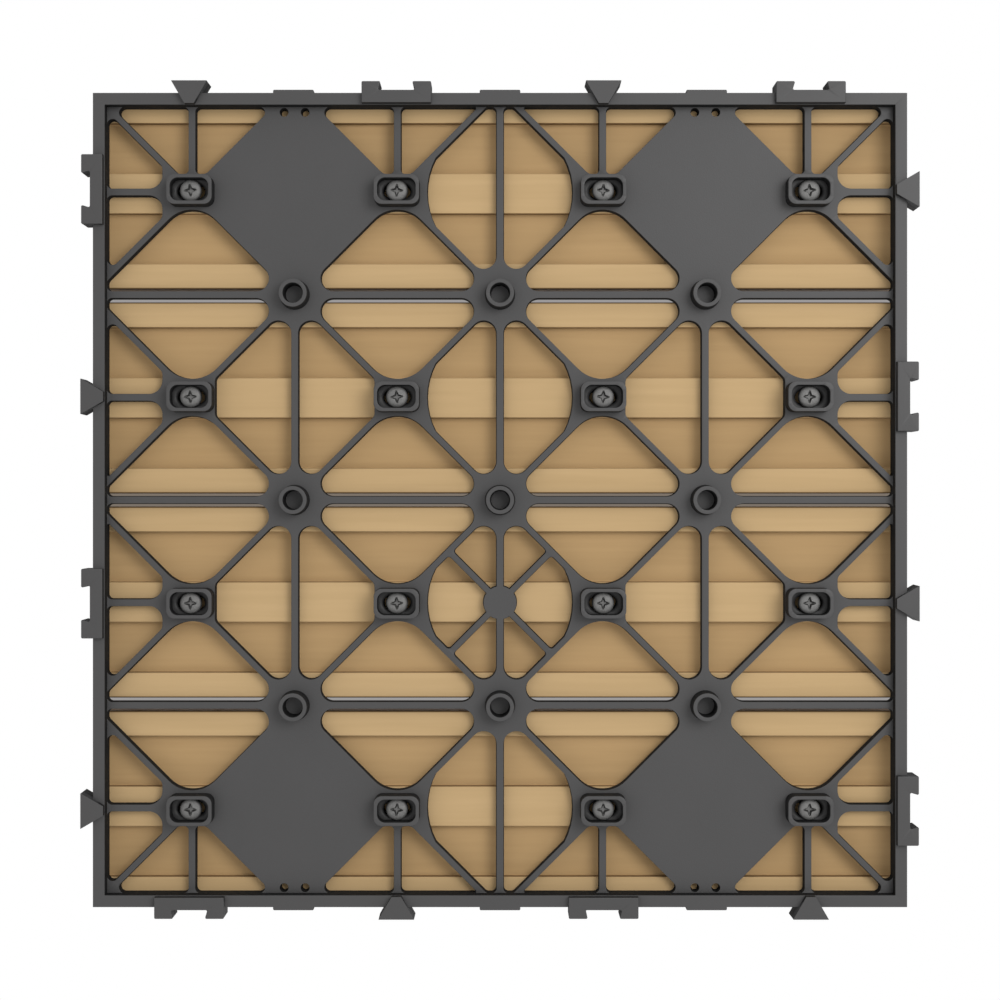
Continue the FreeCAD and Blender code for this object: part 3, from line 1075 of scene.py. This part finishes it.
def stage_material(name, surface_type, stops):
    """Seen by the camera alone. Its colour changes with the distance from the middle line. As an emission it
    glows, and the sheet behind the gaps glows with painted shade.
    """
    material, tree, output = new_material(name)
    away = add_math(tree, "ABSOLUTE", coordinates(tree)["Y"])
    surface = tree.nodes.new(surface_type)
    tree.links.new(add_ramp(tree, away, stops), surface.inputs["Color"])
    nothing = tree.nodes.new("ShaderNodeBsdfTransparent")
    path = tree.nodes.new("ShaderNodeLightPath")
    geometry = tree.nodes.new("ShaderNodeNewGeometry")
    front = add_math(tree, "SUBTRACT", 1.0, geometry.outputs["Backfacing"])
    seen = add_math(tree, "MULTIPLY", front, path.outputs["Is Camera Ray"])
    mix = tree.nodes.new("ShaderNodeMixShader")
    tree.links.new(seen, mix.inputs["Fac"])
    tree.links.new(nothing.outputs["BSDF"], mix.inputs[1])
    tree.links.new(surface.outputs[0], mix.inputs[2])
    tree.links.new(mix.outputs["Shader"], output)
    return material


def add_sheet(name, length, width, height, facing_up, material):
    bm = bmesh.new()
    bmesh.ops.create_grid(bm, x_segments=1, y_segments=1, size=length / 2)
    bmesh.ops.scale(bm, verts=bm.verts[:], vec=(1, width / length, 1))
    if not facing_up:
        bmesh.ops.reverse_faces(bm, faces=bm.faces[:])
    bmesh.ops.translate(bm, verts=bm.verts[:], vec=(0, 0, height))
    sheet = new_object(name, bm, closed=False)
    sheet.data.materials.append(material)


def add_lamp(name, place, size, power):
    """A round lamp that faces the middle of the tile."""
    light = bpy.data.lights.new(name, "AREA")
    light.shape = "DISK"
    light.size = size
    light.energy = power
    lamp = bpy.data.objects.new(name, light)
    bpy.context.scene.collection.objects.link(lamp)
    lamp.location = place
    lamp.rotation_euler = (-Vector(place)).to_track_quat("-Z", "Y").to_euler()


def make_world():
    """Even light from all round. The camera and reflections see plain white."""
    world = bpy.data.worlds.new("surroundings")
    bpy.context.scene.world = world
    world.use_nodes = True
    tree = world.node_tree
    tree.nodes.clear()
    output = tree.nodes.new("ShaderNodeOutputWorld")
    skies = []
    for strength in (AMBIENT, 1.0):
        sky = tree.nodes.new("ShaderNodeBackground")
        sky.inputs["Color"].default_value = opaque(WHITE)
        sky.inputs["Strength"].default_value = strength
        skies.append(sky.outputs[0])
    path = tree.nodes.new("ShaderNodeLightPath")
    mix = tree.nodes.new("ShaderNodeMixShader")
    shown = path.outputs["Is Camera Ray"]
    for kind in ("Is Glossy Ray", "Is Transmission Ray"):
        shown = add_math(tree, "MAXIMUM", shown, path.outputs[kind])
    tree.links.new(shown, mix.inputs["Fac"])
    tree.links.new(skies[0], mix.inputs[1])
    tree.links.new(skies[1], mix.inputs[2])
    tree.links.new(mix.outputs[0], output.inputs["Surface"])


def make_camera():
    """Below the middle of the tile, looking straight up."""
    camera = bpy.data.objects.new("camera", bpy.data.cameras.new("camera"))
    bpy.context.scene.collection.objects.link(camera)
    camera.data.lens = LENS
    camera.data.sensor_width = SENSOR_WIDTH
    camera.location = (0, 0, -CAMERA_DISTANCE)
    camera.rotation_euler = (0, math.pi, 0)
    bpy.context.scene.camera = camera


grain = grain_group()
walls = wall_group()
make_base(plastic_material())
wood = composite_material()
for row in range(1, CELLS + 1):
    make_board(row, wood)
make_screws(steel_material())

floor_tones = [(0.0, FLOOR_TONE), (1.0, FLOOR_TONE)]
gap_painted_shades = [(half_cell * MM, MIDDLE_GAP_PAINTED_SHADE), (module * MM, OUTER_GAP_PAINTED_SHADE)]
pale = stage_material("pale_floor", "ShaderNodeBsdfDiffuse", floor_tones)
# The sheet behind the gaps glows with painted shade.
grey = stage_material("gap_painted_shade_glow", "ShaderNodeEmission", gap_painted_shades)
add_sheet("floor", FLOOR_SIZE, FLOOR_SIZE, 0.0, True, pale)
add_sheet("gap_shade_sheet", 2 * frame_half * MM, BACKING_MODULES * module * MM, board_top * MM + BACKING_LIFT,
          False, grey)
for lamp in LAMPS:
    add_lamp(*lamp)
make_world()
make_camera()
bpy.context.scene.view_settings.view_transform = "Standard"
